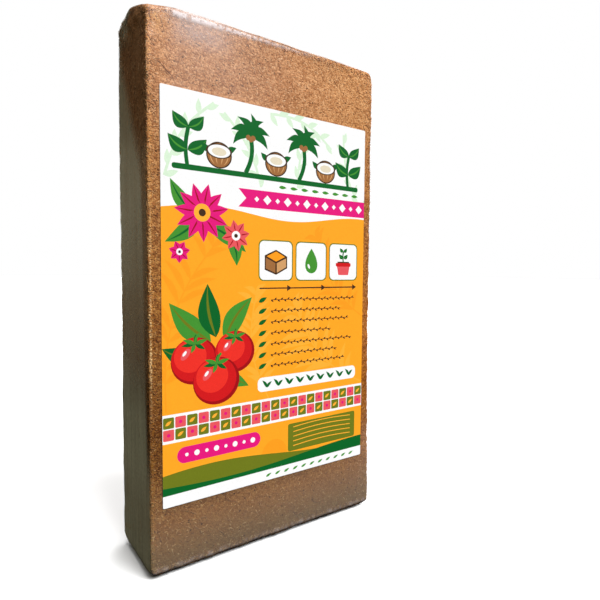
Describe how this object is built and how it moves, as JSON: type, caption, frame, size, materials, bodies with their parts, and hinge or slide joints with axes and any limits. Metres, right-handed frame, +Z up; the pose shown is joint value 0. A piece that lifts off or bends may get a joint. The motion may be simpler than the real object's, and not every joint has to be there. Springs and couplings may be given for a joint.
{
  "type": "coconut coir bale",
  "caption": "Upright block of pressed coconut coir in clear shrink film, with a colourful printed label on its front.",
  "frame": {"origin": "under the middle of the bale, on the surface that it stands on", "axes": "+Z up along the bale's length, front with the label towards -Y, +X right seen from the front"},
  "size_m": [0.1562, 0.0508, 0.3082],
  "materials": {
    "coir": "rough",
    "film": "clear gloss",
    "label": "matte print"
  },
  "bodies": {
    "root": {"coir_block": "coir", "shrink_film": "film", "label": "label"}
  },
  "joints": []
}
